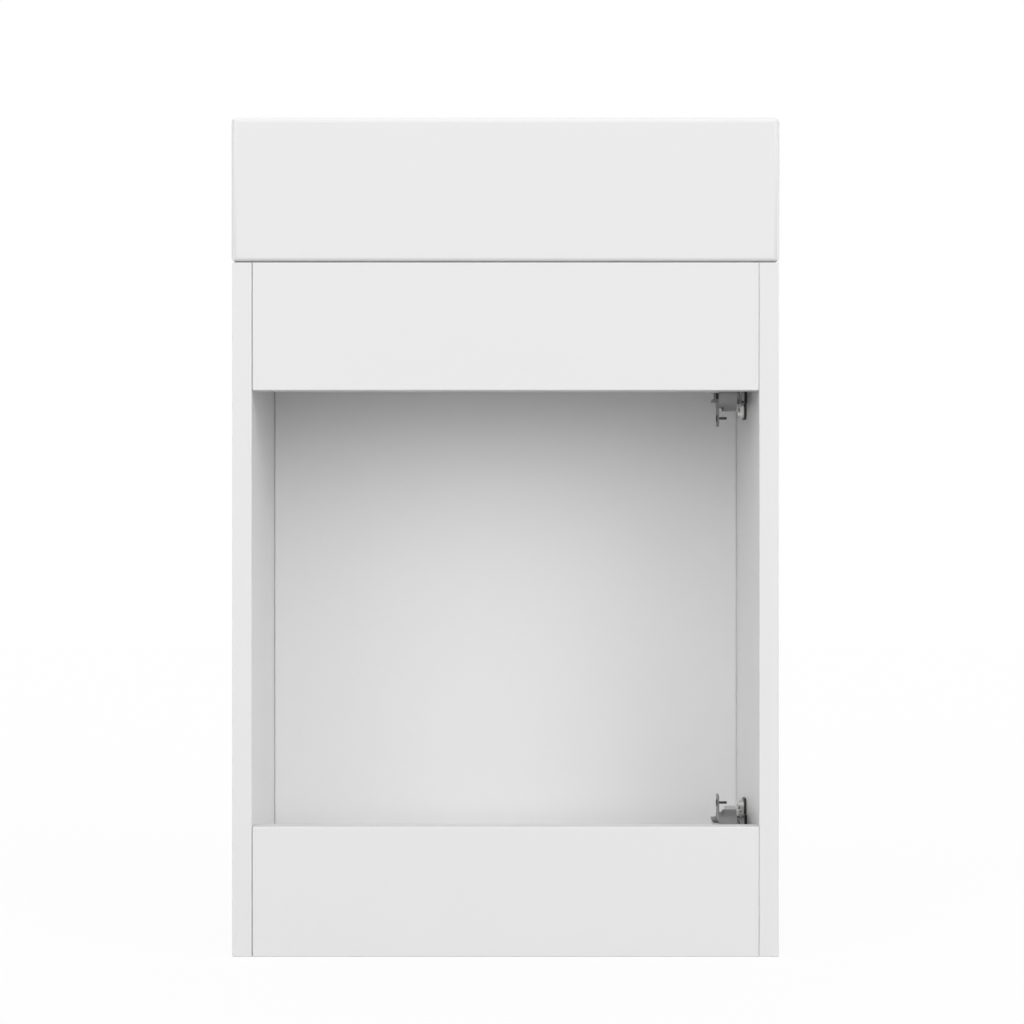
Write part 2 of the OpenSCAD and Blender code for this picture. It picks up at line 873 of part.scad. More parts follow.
module hinge_adjusting_screws() {
    color(steel)
    for (y = adjust_ys)
        translate([0, y, 0])
        difference() {
            union() {
                translate([rail_low_top + fit_gap, 0, 0])
                rotate([0, 90, 0])
                cylinder(d = adjust_d, h = arm_rise - rail_low_top - fit_gap);
                translate([arm_rise, 0, 0])
                rotate([0, 90, 0])
                cylinder(d = adjust_head_d, h = adjust_head_t);
            }
            screw_recess(arm_rise + adjust_head_t / 2, 0, 0, adjust_head_d);
        }
}

// Two stub pins carry the outer link, one through pin carries the inner link
module hinge_arm_pins() {
    stub_low = outer_link_w / 2 - outer_cheek_t;
    color(steel)
    for (side = [0, 1])
        mirror([0, 0, side]) {
            translate([outer_pivot[0], outer_pivot[1], stub_low])
            cylinder(d = pin_d, h = arm_half - stub_low);
            for (pivot = [outer_pivot, inner_pivot])
                translate([pivot[0], pivot[1], arm_half])
                cylinder(d = rivet_d, h = rivet_t);
            translate([inner_pivot[0], inner_pivot[1], 0])
            cylinder(d = pin_d, h = arm_half);
        }
}

module hinge_outer_link() {
    half = outer_link_w / 2;
    color(dark_steel)
    difference() {
        union() {
            both_cheeks(half - outer_cheek_t, half) {
                band(outer_route, outer_half);
                for (pivot = [outer_pivot, outer_cup_pivot])
                    translate(pivot)
                    circle(outer_hub_r);
            }
            slab(-half, half)
            translate([elbow_x - 0.2 - outer_half, web_ends[1]])
            square([web_t, web_ends[0] - web_ends[1]]);
        }
        for (pivot = [outer_pivot, outer_cup_pivot])
            translate([pivot[0], pivot[1], -outer_link_w])
            cylinder(d = pin_d + 2 * pin_gap, h = 2 * outer_link_w);
    }
}

module hinge_inner_link() {
    color(steel)
    difference() {
        slab(inner_link_low, inner_link_low + inner_link_w) {
            band(inner_route, inner_half);
            translate(inner_pivot)
            circle(inner_hub_r);
            translate(inner_cup_pivot)
            circle(eye_r + eye_wall);
        }
        translate([inner_pivot[0], inner_pivot[1], -cut])
        cylinder(d = pin_d + 2 * pin_gap, h = inner_link_w + 2 * cut);
        translate([inner_cup_pivot[0], inner_cup_pivot[1], -cut])
        cylinder(r = eye_r, h = inner_link_w + 2 * cut);
    }
}

// Points along the closing spring: a straight end, the turns, a straight end
spring_pitch = spring_wire + spring_turn_gap;
spring_turns = spring_half_turns / 2;
spring_start_z = -inner_link_low - spring_wire / 2 - spring_turns * spring_pitch;
spring_steps = 8 * spring_turns;
function spring_point(turn) = [
    spring_r * cos(360 * turn),
    spring_r * sin(360 * turn),
    spring_start_z + spring_pitch * turn,
];
spring_points = concat(
    [spring_point(0) - [0, spring_leg, 0]],
    [for (i = [0 : spring_steps]) spring_point(i / 8)],
    [spring_point(spring_turns) + [0, (spring_half_turns % 2 == 0 ? 1 : -1) * spring_leg, 0]]
);

// Least clear gap between stretches of the spring that lie at least half a turn apart
spring_gaps = [for (i = [0 : len(spring_points) - 1], j = [i + 5 : 1 : len(spring_points) - 1])
    norm(spring_points[i] - spring_points[j]) - spring_wire];
echo(least_spring_gap = min(spring_gaps));

function unit(v) = v / norm(v);

// A tube of six sides along a line of points
module tube(points, r) {
    last = len(points) - 1;
    rings = [for (i = [0 : last])
        let (way = unit(points[min(i + 1, last)] - points[max(i - 1, 0)]))
        let (side = unit(cross(way, [0, 0, 1])))
        let (top = cross(side, way))
        for (k = [0 : 5]) points[i] + r * (cos(60 * k) * side + sin(60 * k) * top)];
    sides = [for (i = [0 : last - 1], k = [0 : 5])
        let (next = (k + 1) % 6)
        each [[6 * i + k, 6 * i + next, 6 * i + 6 + k], [6 * i + next, 6 * i + 6 + next, 6 * i + 6 + k]]];
    first_cap = [for (k = [1 : 4]) [0, k + 1, k]];
    last_cap = [for (k = [1 : 4]) [6 * last, 6 * last + k, 6 * last + k + 1]];
    polyhedron(rings, concat(sides, first_cap, last_cap));
}

module hinge_spring() {
    color(steel)
    translate([outer_cup_pivot[0], outer_cup_pivot[1], 0])
    tube(spring_points, spring_wire / 2);
}

// Flange with its two ears, on the plane of the door's inner face
module flange_outline() {
    translate([cup_y, 0])
    circle(d = cup_d + 1);
    translate([cup_y - ear_w / 2, -flange_l / 2])
    rounded_rect(ear_w, flange_l, 4, 4);
}

module hinge_cup() {
    color(steel)
    difference() {
        union() {
            raised(flange_rise, flange_rise + flange_t)
            flange_outline();
            difference() {
                translate([flange_rise - cup_depth, cup_y, 0])
                rotate([0, 90, 0])
                cylinder(d = cup_d, h = cup_depth);
                for (side = [0, 1])
                    mirror([0, 0, side])
                    translate([flange_rise - neck_l, cup_y - cup_d, neck_w / 2])
                    cube([neck_l + cut, 2 * cup_d, cup_d]);
            }
        }
        intersection() {
            translate([flange_rise - cup_depth + cup_floor, cup_y, 0])
            rotate([0, 90, 0])
            cylinder(r = pocket_r, h = cup_depth + flange_t + cut);
            translate([0, cup_y - cup_d, -pocket_half])
            cube([flange_rise + cup_depth, 2 * cup_d, 2 * pocket_half]);
        }
        for (pivot = [outer_cup_pivot, inner_cup_pivot])
            translate([pivot[0], pivot[1], -pin_half - fit_gap])
            cylinder(d = pin_d + 2 * pin_gap, h = 2 * (pin_half + fit_gap));
        for (side = [-1, 1])
            translate([flange_rise - cut, cup_y, side * stud_pitch / 2])
            rotate([0, 90, 0])
            cylinder(d = stud_d + 2 * fit_gap, h = flange_t + 2 * cut);
    }
}

module hinge_cup_pins() {
    color(steel)
    for (pivot = [outer_cup_pivot, inner_cup_pivot])
        translate([pivot[0], pivot[1], -pin_half])
        cylinder(d = pin_d, h = 2 * pin_half);
}

module hinge_cup_studs() {
    flange_top = flange_rise + flange_t;
    color(steel)
    for (side = [-1, 1])
        translate([0, cup_y, side * stud_pitch / 2])
        difference() {
            union() {
                translate([flange_rise - stud_l, 0, 0])
                rotate([0, 90, 0])
                cylinder(d = stud_d, h = stud_l + flange_t);
                translate([flange_top, 0, 0])
                rotate([0, 90, 0])
                cylinder(d = stud_head_d, h = stud_head_t);
            }
            screw_recess(flange_top + stud_head_t / 2, 0, 0, stud_head_d);
        }
}

left_side_panel();
right_side_panel();
fascia_panel();
plinth_panel();
floor_panel();
back_panel();
front_top_rail();
rear_upper_rail();
rear_lower_rail();
cam_locks();
cam_bolts();
wooden_dowels();
basin();
basin_sealant();
overflow_ring();
hinge_at(top_hinge_z) hinge_plate();  // top_hinge_plate
hinge_at(top_hinge_z) hinge_plate_cover();  // top_hinge_plate_cover
hinge_at(top_hinge_z) hinge_plate_screws();  // top_hinge_plate_screws
hinge_at(top_hinge_z) hinge_arm();  // top_hinge_arm
hinge_at(top_hinge_z) hinge_adjusting_screws();  // top_hinge_adjusting_screws
hinge_at(top_hinge_z) hinge_arm_pins();  // top_hinge_arm_pins
hinge_at(top_hinge_z) hinge_outer_link();  // top_hinge_outer_link
hinge_at(top_hinge_z) hinge_inner_link();  // top_hinge_inner_link
hinge_at(top_hinge_z) hinge_spring();  // top_hinge_spring
hinge_at(top_hinge_z) hinge_cup();  // top_hinge_cup
hinge_at(top_hinge_z) hinge_cup_pins();  // top_hinge_cup_pins
hinge_at(top_hinge_z) hinge_cup_studs();  // top_hinge_cup_studs
hinge_at(low_hinge_z) hinge_plate();  // low_hinge_plate
hinge_at(low_hinge_z) hinge_plate_cover();  // low_hinge_plate_cover
hinge_at(low_hinge_z) hinge_plate_screws();  // low_hinge_plate_screws
hinge_at(low_hinge_z) hinge_arm();  // low_hinge_arm
hinge_at(low_hinge_z) hinge_adjusting_screws();  // low_hinge_adjusting_screws
hinge_at(low_hinge_z) hinge_arm_pins();  // low_hinge_arm_pins
hinge_at(low_hinge_z) hinge_outer_link();  // low_hinge_outer_link
hinge_at(low_hinge_z) hinge_inner_link();  // low_hinge_inner_link
hinge_at(low_hinge_z) hinge_spring();  // low_hinge_spring
hinge_at(low_hinge_z) hinge_cup();  // low_hinge_cup
hinge_at(low_hinge_z) hinge_cup_pins();  // low_hinge_cup_pins
hinge_at(low_hinge_z) hinge_cup_studs();  // low_hinge_cup_studs
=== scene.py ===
"""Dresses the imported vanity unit: white boards, a glazed basin and two nickel-plated hinges.

Metres, X to the right, Y from the front to the wall, Z up, origin on the floor.
"""

import json
import math

import bmesh
import bpy
from bpy.props import FloatProperty, FloatVectorProperty, IntProperty, PointerProperty
from mathutils import Matrix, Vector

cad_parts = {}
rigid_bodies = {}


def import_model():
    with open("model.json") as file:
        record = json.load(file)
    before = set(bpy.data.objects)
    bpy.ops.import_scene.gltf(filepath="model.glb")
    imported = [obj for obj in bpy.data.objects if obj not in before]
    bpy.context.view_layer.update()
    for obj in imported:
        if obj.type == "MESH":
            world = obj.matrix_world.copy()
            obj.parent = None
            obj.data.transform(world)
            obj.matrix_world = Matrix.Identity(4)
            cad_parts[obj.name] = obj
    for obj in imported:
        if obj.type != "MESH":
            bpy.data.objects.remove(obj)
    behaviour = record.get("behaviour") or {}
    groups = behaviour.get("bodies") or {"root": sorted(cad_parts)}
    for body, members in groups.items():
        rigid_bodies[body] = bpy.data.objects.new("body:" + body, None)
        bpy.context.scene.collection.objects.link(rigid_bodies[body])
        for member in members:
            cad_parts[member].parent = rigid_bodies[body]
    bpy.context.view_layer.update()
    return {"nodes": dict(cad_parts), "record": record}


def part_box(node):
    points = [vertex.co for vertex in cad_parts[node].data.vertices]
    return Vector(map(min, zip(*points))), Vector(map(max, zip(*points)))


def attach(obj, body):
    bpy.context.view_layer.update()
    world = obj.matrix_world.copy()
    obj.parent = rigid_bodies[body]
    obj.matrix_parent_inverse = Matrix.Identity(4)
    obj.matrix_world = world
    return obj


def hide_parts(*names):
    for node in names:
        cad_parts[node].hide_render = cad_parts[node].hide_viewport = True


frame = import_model()

bl_info = {
    "name": "Vanity unit dressing",
    "version": (1, 0, 0),
    "blender": (4, 5, 0),
    "location": "3D View > Sidebar > Vanity",
    "description": "Finishes for a vanity unit with an open compartment and two concealed hinges",
    "category": "Object",
}

NODES = frame["nodes"]
HINGES = ("top_hinge", "low_hinge")
MM = 0.001

WELD = 1e-6  # Points this close together are one point
FLAT = math.radians(0.5)  # Triangles that turn by less than this are one flat face
EASE = 1 * MM  # Within this, a corner or face counts as lying on its box
DRILLED = 3 * MM  # A board's face this far inside its box is in a drilled hole
FACING = 0.9  # Least share of a normal along X on a face that looks into the compartment
STEPS_A_TURN = 24  # Of a spring
WIRE_SIDES = 10

# The order of materials on a board and on the basin
OUTER, CHIPS, INNER, SHADE_EDGE = range(4)
GLAZED, BARE = range(2)

# How far a pattern is squeezed along X, Y and Z; below 1 draws it out
EVEN = (1, 1, 1)
UPRIGHT = (1, 1, 0.05)
ACROSS = (0.06, 1, 1)

# Heights and depths, in parts of the light dome's radius, over which its light changes
HORIZON = (-0.1, 0.1)
BACK_TO_FRONT = (0.3, -0.3)
SIDE_TO_TOP = (0.55, 0.9)
BOX_PEAK = 4  # Makes x * x * y * y reach 1 half way between the front and a side

WHITE = (1.0, 1.0, 1.0)
SHADOW_PAPER = (0.9, 0.9, 0.9)
FRAME_SIDE = 1024  # Pixels of the photograph's frame
SENSOR = 36  # Millimetres
NEAREST, FARTHEST = 0.05, 50  # Metres from the camera


# ---- Sizes and colours ----


def colour(name, description, default):
    return FloatVectorProperty(
        name=name, description=description, default=default, size=3, subtype="COLOR", min=0, max=1
    )


def length(name, description, default):
    return FloatProperty(
        name=name, description=description, default=default, min=0,
        subtype="DISTANCE", unit="LENGTH",
    )


def share(name, description, default):
    return FloatProperty(
        name=name, description=description, default=default, min=0, max=1, subtype="FACTOR"
    )


class VanityBoards(bpy.types.PropertyGroup):
    lacquer: colour("Lacquer", "Colour of side panels, fascia and plinth", (0.765, 0.765, 0.765))
    melamine: colour("Melamine", "Colour of the boards inside", (0.865, 0.865, 0.865))
    # The dark grey of the back panel's upright edges is painted shade for the compartment's corner
    # lines
    sealed: colour("Sealed edge", "Colour of the back panel's sealed edge", (0.42, 0.42, 0.41))
    core: colour("Core", "Colour of the particle board in drilled holes", (0.46, 0.36, 0.25))
    beech: colour("Beech", "Colour of the dowels", (0.62, 0.44, 0.27))
    gloss_roughness: share("Lacquer roughness", "Roughness of the lacquered boards", 0.36)
    melamine_roughness: share("Melamine roughness", "Roughness of the boards inside", 0.46)
    edge: length("Edge", "Width of the broken edges of the boards", 0.3 * MM)
    back_edge: length("Back edge", "Width of the back panel's sealed edges", 0.9 * MM)


class VanityBasin(bpy.types.PropertyGroup):
    glaze: colour("Glaze", "Colour of the glazed ceramic", (0.76, 0.76, 0.76))
    bisque: colour("Bisque", "Colour of the unglazed hollow", (0.74, 0.71, 0.66))
    # The sealant's dark grey is painted shade of the joint line under the basin
    silicone: colour("Silicone", "Colour of the sealant", (0.3, 0.3, 0.295))
    glaze_roughness: share("Glaze roughness", "Roughness of the glaze", 0.1)
    edge: length("Edge", "Width of the broken edges of the glazed holes", 0.6 * MM)
    rim: length("Rim", "Rounding of the bowl's rim and of the tap hole", 2.6 * MM)
    wall: length("Wall", "Thickness of the basin's outer walls", 16 * MM)
    bead_edge: length("Bead edge", "Width of the sealant's soft edges", 0.3 * MM)
    hollow: length("Hollow", "Height of the hollow under the bowl", 24 * MM)


class VanityMetal(bpy.types.PropertyGroup):
    nickel: colour("Nickel", "Colour of the plated steel", (0.76, 0.755, 0.745))
    satin_nickel: colour("Satin nickel", "Colour of the hinge arms", (0.56, 0.555, 0.545))
    # Nickel darkened as painted shade and painted reflection on the hinge cups and outer links
    dark_nickel: colour("Dark nickel", "Colour of cups and outer links", (0.25, 0.25, 0.255))
    # Near-black plating as painted shade and painted reflection on the hinge plates and cup studs
    painted_shade_black: colour("Black nickel", "Colour of plates and cup studs", (0.06, 0.06, 0.062))
    zinc: colour("Zinc", "Colour of the cam locks", (0.5, 0.505, 0.515))
    steel: colour("Steel", "Colour of the pins, springs and bolts", (0.56, 0.56, 0.565))
    chrome: colour("Chrome", "Colour of the overflow ring", (0.8, 0.8, 0.81))
    edge: length("Edge", "Width of the broken edges of pressed steel", 0.2 * MM)
    spring_wire: length("Spring wire", "Thickness of the closing spring's wire", 0.9 * MM)
    spring_leg: length("Spring leg", "Length of the closing spring's straight ends", 2 * MM)
    spring_turns: FloatProperty(
        name="Spring turns", description="Turns of each closing spring", default=2.5, min=1, max=4
    )
    ring_width: length("Ring width", "Width of the overflow ring's flange", 3.6 * MM)
    ring_wall: length("Ring wall", "Wall of the overflow ring's sleeve", 1 * MM)
    ring_flange: length("Ring flange", "Thickness of the overflow ring's flange", 2.5 * MM)
    ring_slope: length("Ring slope", "Width of the sloped edges of the ring's flange", 1.2 * MM)
    ring_steps: IntProperty(
        name="Ring steps", description="Steps round the overflow ring", default=96, min=24, max=256
    )


class VanityStage(bpy.types.PropertyGroup):
    floor_colour: colour("Floor", "Colour of the studio floor", (0.4, 0.4, 0.4))
    floor_size: length("Floor size", "Side of the floor", 12)
    shadow: share("Shadow", "How much of the object's shadow the floor shows", 0.1)
    front_light: FloatProperty(name="Front light", description="Light from in front", default=0.9)
    soft_boxes: FloatProperty(
        name="Soft boxes", description="Extra light from front left and front right", default=2.4
    )
    side_light: FloatProperty(
        name="Side light", description="How much brighter the right soft box is", default=0.25
    )
    top_light: FloatProperty(name="Top light", description="Light from high above", default=0.75)
    back_light: FloatProperty(name="Back light", description="Light from behind", default=0.9)
    low_light: FloatProperty(name="Low light", description="Light from below", default=1.2)
    camera_distance: length("Camera distance", "From the camera to the origin", 2.154)
    camera_height: length("Camera height", "Height of the camera", 0.3844)
    lens: FloatProperty(
        name="Lens", description="Focal length", default=78.06, min=20, unit="CAMERA"
    )
    shift_right: FloatProperty(
        name="Shift right", description="Lens shift", default=6.5 / FRAME_SIDE
    )
    shift_up: FloatProperty(name="Shift up", description="Lens shift", default=24.5 / FRAME_SIDE)


# ---- Shader expressions ----


class Wire:
    """A shader socket that takes part in sums. An expression adds its Math nodes."""

    def __init__(self, finish, socket):
        self.finish = finish
        self.socket = socket

    def math(self, operation, *values):
        return self.finish.node(
            "ShaderNodeMath", {"operation": operation}, dict(enumerate(values))
        )

    def __add__(self, other):
        return self.math("ADD", self, other)

    def __sub__(self, other):
        return self.math("SUBTRACT", self, other)

    def __rsub__(self, other):
        return self.math("SUBTRACT", other, self)

    def __mul__(self, other):
        return self.math("MULTIPLY", self, other)

    __radd__ = __add__
    __rmul__ = __mul__


class Finish:
    """A node tree that is filled by calls: node() adds a node and gives the wire of an output."""

    def __init__(self, owner):
        owner.use_nodes = True
        self.tree = owner.node_tree
        self.tree.nodes.clear()

    def node(self, kind, settings=None, inputs=None, output=0):
        made = self.tree.nodes.new(kind)
        for name, value in (settings or {}).items():
            setattr(made, name, value)
        for name, value in (inputs or {}).items():
            socket = made.inputs[name]
            if isinstance(value, Wire):
                self.tree.links.new(value.socket, socket)
            elif socket.type == "RGBA":
                socket.default_value = (*value, 1)
            else:
                socket.default_value = value
        return Wire(self, made.outputs[output]) if made.outputs else None

    def parts(self, vector):
        """The X, Y and Z of a vector."""
        split = self.node("ShaderNodeSeparateXYZ", inputs={"Vector": vector}).socket.node
        return [Wire(self, output) for output in split.outputs]

    def step(self, value, low, high):
        """A smooth step from 0 at low to 1 at high."""
        return self.node(
            "ShaderNodeMapRange", {"interpolation_type": "SMOOTHSTEP"},
            {"Value": value, "From Min": low, "From Max": high},
        )

    def place(self):
        """Object coordinates, in metres."""
        return self.node("ShaderNodeTexCoord", output="Object")

    def noise(self, scale, detail, stretch=EVEN):
        """Noise from 0 to 1 with about scale cells in a metre."""
        point = self.node("ShaderNodeMapping", inputs={"Vector": self.place(), "Scale": stretch})
        return self.node(
            "ShaderNodeTexNoise", inputs={"Vector": point, "Scale": scale, "Detail": detail}
        )

    def blend(self, low, high, factor):
        """A colour between two others."""
        return self.node(
            "ShaderNodeMix", {"data_type": "RGBA"}, {"Factor": factor, "A": low, "B": high},
            output=2,
        )

    def bump(self, height, distance, strength):
        return self.node(
            "ShaderNodeBump", inputs={"Height": height, "Distance": distance, "Strength": strength}
        )


# ---- Finishes ----


def shaded(rgb, by):
    """A colour made lighter or darker by a share."""
    return tuple(min(1.0, max(0.0, c * (1 + by))) for c in rgb)


def mottled(rgb, darker, lighter, scale, detail, stretch=EVEN):
    """A colour that drifts between a darker and a lighter tone."""
    return lambda f: f.blend(
        shaded(rgb, -darker), shaded(rgb, lighter), f.noise(scale, detail, stretch)
    )


def uneven(middle, spread, scale, detail, stretch=EVEN):
    """A roughness that varies about its middle value."""
    return lambda f: middle - spread / 2 + f.noise(scale, detail, stretch) * spread


def relief(scale, detail, depth, strength, stretch=EVEN):
    """Fine ups and downs of a surface."""
    return lambda f: f.bump(f.noise(scale, detail, stretch), depth, strength)


def surface(name, base, roughness, normal, constants=None):
    """A material with one Principled shader; constants are set on its own sockets."""
    finish = Finish(bpy.data.materials.get(name) or bpy.data.materials.new(name))
    inputs = {
        "Base Color": base(finish),
        "Roughness": roughness(finish) if callable(roughness) else roughness,
        "Normal": normal(finish),
    }
    shader = finish.node("ShaderNodeBsdfPrincipled", inputs={**inputs, **(constants or {})})
    finish.node("ShaderNodeOutputMaterial", inputs={"Surface": shader})
    return bpy.data.materials[name]


def lacquer(props):
    """Sprayed satin lacquer: a faint orange peel and a little drift of tone."""
    return surface(
        "white lacquer",
        base=mottled(props.lacquer, darker=0.008, lighter=0.008, scale=5, detail=3),
        roughness=uneven(props.gloss_roughness, spread=0.08, scale=40, detail=3),
        normal=relief(scale=700, detail=2, depth=0.02 * MM, strength=0.25),
    )


def melamine(props):
    """Melamine paper with a fine pressed grain."""
    return surface(
        "white melamine",
        base=mottled(props.melamine, darker=0.01, lighter=0.01, scale=9, detail=4),
        roughness=uneven(props.melamine_roughness, spread=0.1, scale=120, detail=3),
        normal=relief(scale=1800, detail=3, depth=0.03 * MM, strength=0.3),
    )


def corner_shade_edge(props):
    """The back panel's sawn upright front edges, painted dark grey as painted shade: the fine line
    in the compartment's corners, with a faint grain.
    """
    return surface(
        "sealed edge",
        base=mottled(props.sealed, darker=0.06, lighter=0.04, scale=150, detail=3),
        roughness=0.7,
        normal=relief(scale=1200, detail=3, depth=0.1 * MM, strength=0.4),
    )


def particle_board(props):
    """The chips of a drilled particle board."""
    def chips(f):
        return f.node(
            "ShaderNodeTexVoronoi", {"feature": "F1"}, {"Vector": f.place(), "Scale": 900}
        )
    return surface(
        "particle board",
        base=lambda f: f.blend(shaded(props.core, -0.35), shaded(props.core, 0.3), chips(f)),
        roughness=0.85,
        normal=lambda f: f.bump(chips(f), distance=0.3 * MM, strength=0.6),
    )


def beech(props):
    """Turned beech with short dark flecks along the grain, which runs across the unit."""
    flecks = {"scale": 300, "detail": 4, "stretch": ACROSS}
    return surface(
        "beech",
        base=mottled(props.beech, darker=0.25, lighter=0.12, **flecks),
        roughness=0.6,
        normal=relief(depth=0.05 * MM, strength=0.4, **flecks),
    )


def glaze(props):
    """Fired glaze: glossy and gently uneven."""
    return surface(
        "white glaze",
        base=mottled(props.glaze, darker=0.006, lighter=0.006, scale=7, detail=2),
        roughness=uneven(props.glaze_roughness, spread=0.04, scale=60, detail=3),
        normal=relief(scale=22, detail=2, depth=0.25 * MM, strength=0.12),
        constants={"IOR": 1.5, "Coat Weight": 0.25, "Coat Roughness": 0.04},
    )


def bisque(props):
    """The unglazed, matt clay of the hollow underside."""
    return surface(
        "bare clay",
        base=mottled(props.bisque, darker=0.08, lighter=0.05, scale=35, detail=5),
        roughness=0.9,
        normal=relief(scale=600, detail=4, depth=0.15 * MM, strength=0.5),
    )


def silicone(props):
    """Sealant darkened to grey as painted shade of the joint under the basin, smoothed by hand."""
    return surface(
        "grey silicone",
        base=mottled(props.silicone, darker=0.03, lighter=0.02, scale=50, detail=2),
        roughness=0.5,
        normal=relief(scale=150, detail=2, depth=0.1 * MM, strength=0.4),
    )


def plated(name, rgb, roughness, grain=UPRIGHT, stain=0.08, metal=1.0):
    """Plated metal with fine drawing marks and a little stain. A dull plating is less of a mirror
    than bare metal."""
    marks = {"scale": 2500, "detail": 2, "stretch": grain}
    return surface(
        name,
        base=mottled(rgb, darker=stain, lighter=stain / 2, scale=90, detail=4),
        roughness=uneven(roughness, spread=0.4 * roughness, **marks),
        normal=relief(depth=0.01 * MM, strength=0.15, **marks),
        constants={"Metallic": metal},
    )


def nickel(props):
    return plated("nickel plating", props.nickel, roughness=0.2)


def satin_nickel(props):
    return plated("satin nickel plating", props.satin_nickel, roughness=0.3)


# Darkened nickel: painted shade and painted reflection on cups and outer links
def dark_nickel(props):
    return plated("dark nickel plating", props.dark_nickel, roughness=0.4, metal=0.5)


# Near-black plating: painted shade and painted reflection on plates and cup studs
def painted_shade_black(props):
    return plated("black nickel plating", props.painted_shade_black, roughness=0.35, metal=0.6)


def zinc(props):
    return plated("cast zinc", props.zinc, roughness=0.42, grain=EVEN, stain=0.15)


def steel(props):
    return plated("drawn steel", props.steel, roughness=0.26)


def chrome(props):
    return plated("polished chrome", props.chrome, roughness=0.05, grain=EVEN, stain=0.02)


# ---- Pieces ----


def body_of(node):
    """The CAD body that a node rides on."""
    return NODES[node].parent.name.split(":", 1)[1]


def slot_of(node):
    """The record's material slot of a node."""
    for row in frame["record"]["subparts"]:
        if row["node"] == node:
            return row["material_slot"]
    raise ValueError(f"the record names no material slot for {node}")


def dress(piece, *materials):
    """Gives a piece or CAD node its materials, in order."""
    piece.data.materials.clear()
    for material in materials:
        piece.data.materials.append(material)


def stand_in(bm, name, node, *materials, sharp=35):
    """Makes a piece of a bmesh, which stands for a CAD node and rides with it."""
    mesh = bpy.data.meshes.new(name)
    for face in bm.faces:
        face.smooth = True
    bm.to_mesh(mesh)
    bm.free()
    mesh.set_sharp_from_angle(angle=math.radians(sharp))
    piece = bpy.data.objects.new(name, mesh)
    bpy.context.scene.collection.objects.link(piece)
    dress(piece, *materials)
    shading = piece.modifiers.new("even shading", "WEIGHTED_NORMAL")
    shading.keep_sharp = True
    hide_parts(node)
    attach(piece, body_of(node))
    slot_of(node)


def merged_copy(node):
    """A bmesh of a CAD node with its triangles joined into whole faces."""
    bm = bmesh.new()
    bm.from_mesh(NODES[node].data)
    bmesh.ops.remove_doubles(bm, verts=bm.verts, dist=WELD)
    bmesh.ops.dissolve_limit(
        bm, angle_limit=FLAT, verts=bm.verts, edges=bm.edges, delimit=set()
    )
    return bm


def break_edges(bm, width, segments=2, least=40, where=None):
    """Rounds the edges that turn by more than least degrees, and gives the bevel's result."""
    turned = math.radians(least)
    edges = [
        e for e in bm.edges
        if len(e.link_faces) == 2 and e.calc_face_angle() > turned and (where is None or where(e))
    ]
    return bmesh.ops.bevel(
        bm, geom=edges, offset=width, offset_type="OFFSET", segments=segments, profile=0.5,
        affect="EDGES", clamp_overlap=True, material=-1,
    )


def build_board(node, props, outer, inner=None, edge_shade=None):
    """A board with broken edges and bare particle board in its drilled holes. The face that looks
    into the compartment may have a finish of its own, and so may the upright front edges, whose
    dark finish is painted shade: a fine line in the compartment's corners."""
    bm = merged_copy(node)
    low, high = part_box(node)
    for face in bm.faces:
        c = face.calc_center_median()
        drilled = all(low[i] + DRILLED < c[i] < high[i] - DRILLED for i in range(3))
        looks_in = face.normal.x * c.x < -FACING * abs(c.x)
        face.material_index = CHIPS if drilled else INNER if looks_in else OUTER

    def upright_front(edge):
        a, b = (v.co for v in edge.verts)
        on_front = max(a.y, b.y) < low.y + EASE
        return on_front and a.x * b.x > 0 and min(abs(a.x), abs(b.x)) > high.x - EASE

    if edge_shade:
        # The bevelled upright front edges of the back panel get the dark finish: painted shade in
        # the compartment's corners
        for face in break_edges(bm, props.back_edge, segments=1, where=upright_front)["faces"]:
            face.material_index = SHADE_EDGE
    else:
        break_edges(bm, props.edge)
    finishes = (outer, particle_board(props), inner or outer, edge_shade or outer)
    stand_in(bm, node + "_dressed", node, *finishes)


class VANITY_OT_front_boards(bpy.types.Operator):
    """Lacquered side panels, fascia and plinth"""

    bl_idname = "vanity.front_boards"
    bl_label = "Side panels, fascia and plinth"

    def execute(self, context):
        props = context.scene.vanity_boards
        for node in ("left_side_panel", "right_side_panel"):
            build_board(node, props, lacquer(props), inner=melamine(props))
        for node in ("fascia_panel", "plinth_panel"):
            build_board(node, props, lacquer(props))
        return {"FINISHED"}


class VANITY_OT_inner_boards(bpy.types.Operator):
    """Floor, back panel and rails, faced with melamine"""

    bl_idname = "vanity.inner_boards"
    bl_label = "Boards inside"

    def execute(self, context):
        props = context.scene.vanity_boards
        for node in ("floor_panel", "front_top_rail", "rear_upper_rail", "rear_lower_rail"):
            build_board(node, props, melamine(props))
        build_board("back_panel", props, melamine(props), edge_shade=corner_shade_edge(props))
        return {"FINISHED"}


class VANITY_OT_board_fittings(bpy.types.Operator):
    """Cam locks, cam bolts and dowels"""

    bl_idname = "vanity.board_fittings"
    bl_label = "Board fittings"

    def execute(self, context):
        boards = context.scene.vanity_boards
        metal = context.scene.vanity_metal
        dress(NODES["cam_locks"], zinc(metal))
        dress(NODES["cam_bolts"], steel(metal))
        dress(NODES["wooden_dowels"], beech(boards))
        return {"FINISHED"}


